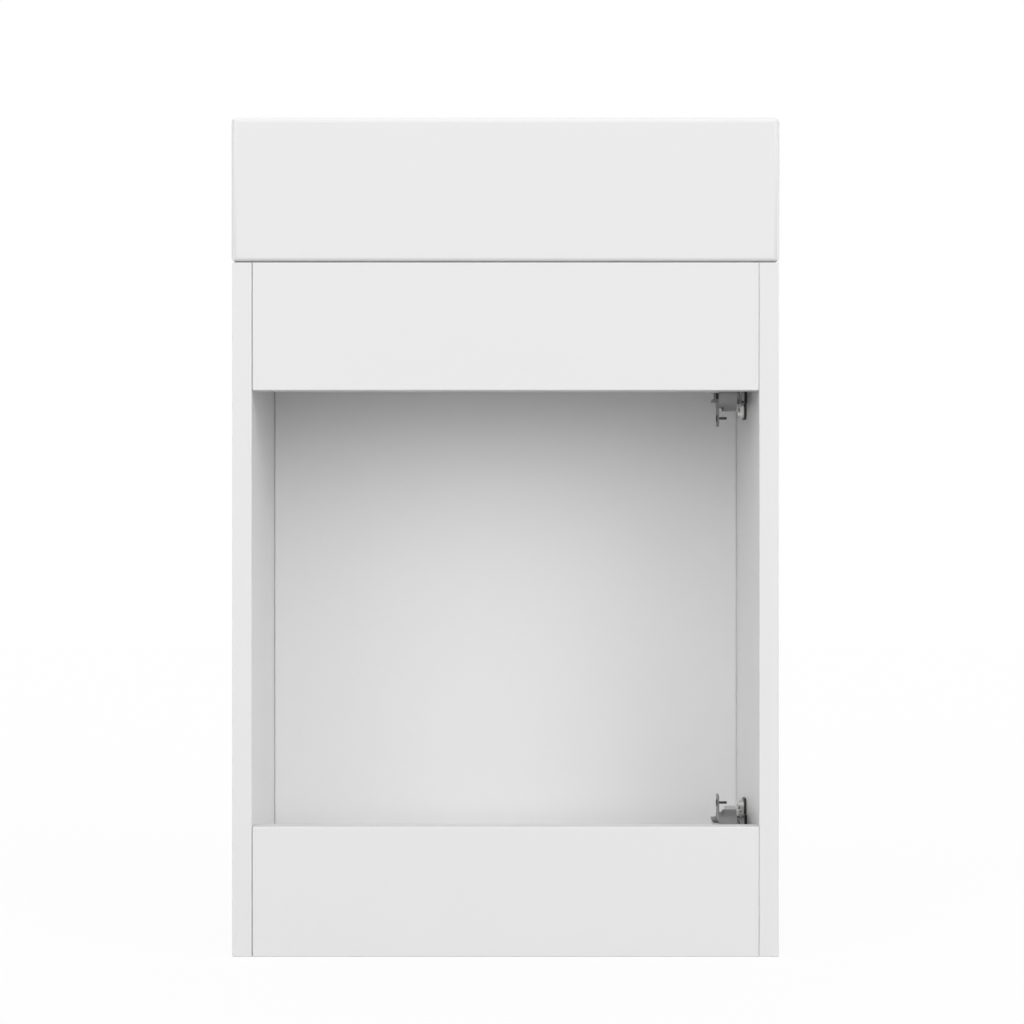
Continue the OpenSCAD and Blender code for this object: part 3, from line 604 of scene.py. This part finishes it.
class VANITY_OT_basin(bpy.types.Operator):
    """Glazed basin with a soft rim, bare clay in its hollow"""

    bl_idname = "vanity.basin"
    bl_label = "Basin"

    def execute(self, context):
        props = context.scene.vanity_basin
        bm = merged_copy("basin")
        low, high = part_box("basin")
        inset = props.wall - EASE
        for face in bm.faces:
            c = face.calc_center_median()
            within = all(low[i] + inset < c[i] < high[i] - inset for i in range(2))
            face.material_index = BARE if within and c.z < low.z + props.hollow else GLAZED
        break_edges(
            bm, props.rim, segments=4,
            where=lambda edge: min(v.co.z for v in edge.verts) > high.z - EASE,
        )
        break_edges(bm, props.edge)
        stand_in(bm, "basin_dressed", "basin", glaze(props), bisque(props))
        return {"FINISHED"}


class VANITY_OT_sealant(bpy.types.Operator):
    """Bed of silicone between basin and cabinet"""

    bl_idname = "vanity.sealant"
    bl_label = "Sealant"

    def execute(self, context):
        props = context.scene.vanity_basin
        bm = merged_copy("basin_sealant")
        break_edges(bm, props.bead_edge)
        stand_in(bm, "sealant_bead", "basin_sealant", silicone(props))
        return {"FINISHED"}


class VANITY_OT_overflow_ring(bpy.types.Operator):
    """Turned chrome ring in the overflow hole"""

    bl_idname = "vanity.overflow_ring"
    bl_label = "Overflow ring"

    def execute(self, context):
        props = context.scene.vanity_metal
        low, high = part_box("overflow_ring")
        x, z = (low.x + high.x) / 2, (low.z + high.z) / 2
        flange_r = (high.x - low.x) / 2
        sleeve_r = flange_r - props.ring_width
        bore_r = sleeve_r - props.ring_wall
        flange_y = low.y + props.ring_flange
        slope = props.ring_slope
        profile = [
            (bore_r, high.y), (sleeve_r, high.y), (sleeve_r, flange_y), (flange_r, flange_y),
            (flange_r, low.y + slope), (flange_r - slope, low.y), (bore_r + slope, low.y),
            (bore_r, low.y + slope),
        ]
        bm = bmesh.new()
        points = [bm.verts.new((x + r, y, z)) for r, y in profile]
        for a, b in zip(points, points[1:] + points[:1]):
            bm.edges.new((a, b))
        bmesh.ops.spin(
            bm, geom=bm.verts[:] + bm.edges[:], cent=(x, 0, z), axis=(0, 1, 0),
            angle=2 * math.pi, steps=props.ring_steps, use_merge=True,
        )
        bmesh.ops.remove_doubles(bm, verts=bm.verts, dist=WELD)
        bmesh.ops.recalc_face_normals(bm, faces=bm.faces)
        break_edges(bm, props.edge, least=30)
        stand_in(bm, "overflow_ring_turned", "overflow_ring", chrome(props))
        return {"FINISHED"}


def dress_hinges(props, **platings):
    """Breaks the edges of the named steel pieces of both hinges and plates them."""
    for hinge in HINGES:
        for piece, plating in platings.items():
            node = f"{hinge}_{piece}"
            bm = merged_copy(node)
            break_edges(bm, props.edge)
            stand_in(bm, node + "_dressed", node, plating)


class VANITY_OT_hinge_plates(bpy.types.Operator):
    """Mounting plates of two layers, with their screws"""

    bl_idname = "vanity.hinge_plates"
    bl_label = "Hinge plates"

    def execute(self, context):
        props = context.scene.vanity_metal
        dress_hinges(
            props,
            plate=painted_shade_black(props),
            plate_cover=nickel(props),
            plate_screws=nickel(props),
        )
        return {"FINISHED"}


class VANITY_OT_hinge_arms(bpy.types.Operator):
    """Arms with their adjusting screws and pins"""

    bl_idname = "vanity.hinge_arms"
    bl_label = "Hinge arms"

    def execute(self, context):
        props = context.scene.vanity_metal
        dress_hinges(
            props,
            arm=satin_nickel(props),
            adjusting_screws=nickel(props),
            arm_pins=steel(props),
        )
        return {"FINISHED"}


class VANITY_OT_hinge_links(bpy.types.Operator):
    """Outer and inner links"""

    bl_idname = "vanity.hinge_links"
    bl_label = "Hinge links"

    def execute(self, context):
        props = context.scene.vanity_metal
        dress_hinges(props, outer_link=dark_nickel(props), inner_link=nickel(props))
        return {"FINISHED"}


class VANITY_OT_hinge_cups(bpy.types.Operator):
    """Cups with their pins and studs"""

    bl_idname = "vanity.hinge_cups"
    bl_label = "Hinge cups"

    def execute(self, context):
        props = context.scene.vanity_metal
        dress_hinges(
            props,
            cup=dark_nickel(props),
            cup_pins=steel(props),
            cup_studs=painted_shade_black(props),
        )
        return {"FINISHED"}


def build_spring(node, props):
    """Winds a round wire where the CAD spring is, with a straight leg at each end."""
    low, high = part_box(node)
    half_wire = props.spring_wire / 2
    coil_r = (high.x - low.x) / 2 - half_wire
    middle = (low + high) / 2
    start = low.z + half_wire
    climb = high.z - half_wire - start
    steps = round(STEPS_A_TURN * props.spring_turns)
    bm = bmesh.new()
    ring = bmesh.ops.create_circle(
        bm, cap_ends=False, segments=WIRE_SIDES, radius=half_wire
    )["verts"]
    bmesh.ops.rotate(bm, verts=ring, cent=(0, 0, 0), matrix=Matrix.Rotation(math.pi / 2, 3, "X"))
    bmesh.ops.translate(bm, verts=ring, vec=(middle.x - coil_r, middle.y, start))
    first = list(dict.fromkeys(e for v in ring for e in v.link_edges))
    wound = bmesh.ops.spin(
        bm, geom=ring + first, cent=(middle.x, middle.y, 0), axis=(0, 0, -1),
        dvec=(0, 0, climb / steps), angle=2 * math.pi * props.spring_turns, steps=steps,
        use_merge=False,
    )
    last = [g for g in wound["geom_last"] if isinstance(g, bmesh.types.BMEdge)]
    for edges in (first, last):
        leg = bmesh.ops.extrude_edge_only(bm, edges=edges)["geom"]
        tip = [g for g in leg if isinstance(g, bmesh.types.BMVert)]
        bmesh.ops.translate(bm, verts=tip, vec=(0, -props.spring_leg, 0))
        bmesh.ops.contextual_create(bm, geom=[g for g in leg if isinstance(g, bmesh.types.BMEdge)])
    bmesh.ops.recalc_face_normals(bm, faces=bm.faces)
    stand_in(bm, node + "_wire", node, steel(props), sharp=60)


class VANITY_OT_hinge_springs(bpy.types.Operator):
    """Closing springs wound of round wire"""

    bl_idname = "vanity.hinge_springs"
    bl_label = "Closing springs"

    def execute(self, context):
        for hinge in HINGES:
            build_spring(hinge + "_spring", context.scene.vanity_metal)
        return {"FINISHED"}


# ---- Stage ----


def seen(finish):
    """1 for the rays that show the background, else 0."""
    camera, glossy, through = (
        finish.node("ShaderNodeLightPath", output=name)
        for name in ("Is Camera Ray", "Is Glossy Ray", "Is Transmission Ray")
    )
    return camera.math("MINIMUM", camera + glossy + through, 1.0)


def build_floor(props):
    """A floor of pale paper that is seen as plain white, with some of the object's shadow."""
    bm = bmesh.new()
    bmesh.ops.create_grid(bm, x_segments=1, y_segments=1, size=props.floor_size / 2)
    mesh = bpy.data.meshes.new("studio_floor")
    bm.to_mesh(mesh)
    bm.free()
    floor = bpy.data.objects.new("studio_floor", mesh)
    bpy.context.scene.collection.objects.link(floor)
    material = bpy.data.materials.new("studio floor")
    finish = Finish(material)
    tone = mottled(props.floor_colour, darker=0.01, lighter=0.01, scale=30, detail=3)
    paper = finish.node("ShaderNodeBsdfDiffuse", inputs={"Color": tone(finish)})
    white = finish.node("ShaderNodeEmission", inputs={"Color": WHITE, "Strength": 1.0})
    shadow_paper = finish.node("ShaderNodeBsdfDiffuse", inputs={"Color": SHADOW_PAPER})
    shown = finish.node(
        "ShaderNodeMixShader", inputs={0: 1 - props.shadow, 1: shadow_paper, 2: white}
    )
    both = finish.node("ShaderNodeMixShader", inputs={0: seen(finish), 1: paper, 2: shown})
    finish.node("ShaderNodeOutputMaterial", inputs={"Surface": both})
    dress(floor, material)


def build_light(scene, props):
    """A soft dome with two broad soft boxes in front; what is seen of it is plain white."""
    scene.world = bpy.data.worlds.new("studio")
    finish = Finish(scene.world)
    x, y, z = finish.parts(finish.node("ShaderNodeTexCoord", output="Generated"))
    high = finish.step(z, *HORIZON)
    ahead = finish.step(y, *BACK_TO_FRONT)
    steep = finish.step(z, *SIDE_TO_TOP)
    boxes = x * x * y * y * (BOX_PEAK * props.soft_boxes) * (1 + x * props.side_light)
    front = (boxes + props.front_light) * (1 - steep) + steep * props.top_light
    above = props.back_light + ahead * (front - props.back_light)
    level = props.low_light + high * (above - props.low_light)
    strength = level + seen(finish) * (1 - level)
    background = finish.node(
        "ShaderNodeBackground", inputs={"Color": WHITE, "Strength": strength}
    )
    finish.node("ShaderNodeOutputWorld", inputs={"Surface": background})


def build_camera(scene, props):
    data = bpy.data.cameras.new("camera")
    data.sensor_width = SENSOR
    data.lens = props.lens
    data.shift_x = props.shift_right
    data.shift_y = props.shift_up
    data.clip_start = NEAREST
    data.clip_end = FARTHEST
    camera = bpy.data.objects.new("camera", data)
    camera.location = (0, -props.camera_distance, props.camera_height)
    camera.rotation_euler = (math.pi / 2, 0, 0)
    scene.collection.objects.link(camera)
    scene.camera = camera


class VANITY_OT_stage(bpy.types.Operator):
    """White studio floor, soft light from in front and above, and the camera"""

    bl_idname = "vanity.stage"
    bl_label = "Stage, light and camera"

    def execute(self, context):
        props = context.scene.vanity_stage
        build_floor(props)
        build_light(context.scene, props)
        build_camera(context.scene, props)
        context.scene.view_settings.view_transform = "Standard"
        return {"FINISHED"}


# ---- Add-on ----


class VANITY_PT_panel(bpy.types.Panel):
    bl_idname = "VANITY_PT_panel"
    bl_label = "Vanity unit"
    bl_space_type = "VIEW_3D"
    bl_region_type = "UI"
    bl_category = "Vanity"

    def draw(self, context):
        for name, group in GROUPS.items():
            box = self.layout.box()
            for entry in group.__annotations__:
                box.prop(getattr(context.scene, name), entry)
        for operator in OPERATORS:
            self.layout.operator(operator.bl_idname)


GROUPS = {
    "vanity_boards": VanityBoards,
    "vanity_basin": VanityBasin,
    "vanity_metal": VanityMetal,
    "vanity_stage": VanityStage,
}
OPERATORS = (
    VANITY_OT_stage,
    VANITY_OT_front_boards,
    VANITY_OT_inner_boards,
    VANITY_OT_board_fittings,
    VANITY_OT_basin,
    VANITY_OT_sealant,
    VANITY_OT_overflow_ring,
    VANITY_OT_hinge_plates,
    VANITY_OT_hinge_arms,
    VANITY_OT_hinge_links,
    VANITY_OT_hinge_cups,
    VANITY_OT_hinge_springs,
)


def register():
    for name, group in GROUPS.items():
        bpy.utils.register_class(group)
        setattr(bpy.types.Scene, name, PointerProperty(type=group))
    for operator in OPERATORS:
        bpy.utils.register_class(operator)
    bpy.utils.register_class(VANITY_PT_panel)


def unregister():
    bpy.utils.unregister_class(VANITY_PT_panel)
    for operator in reversed(OPERATORS):
        bpy.utils.unregister_class(operator)
    for name, group in GROUPS.items():
        delattr(bpy.types.Scene, name)
        bpy.utils.unregister_class(group)


def main():
    register()
    for operator in OPERATORS:
        group, name = operator.bl_idname.split(".")
        getattr(getattr(bpy.ops, group), name)()


if __name__ == "__main__":
    main()
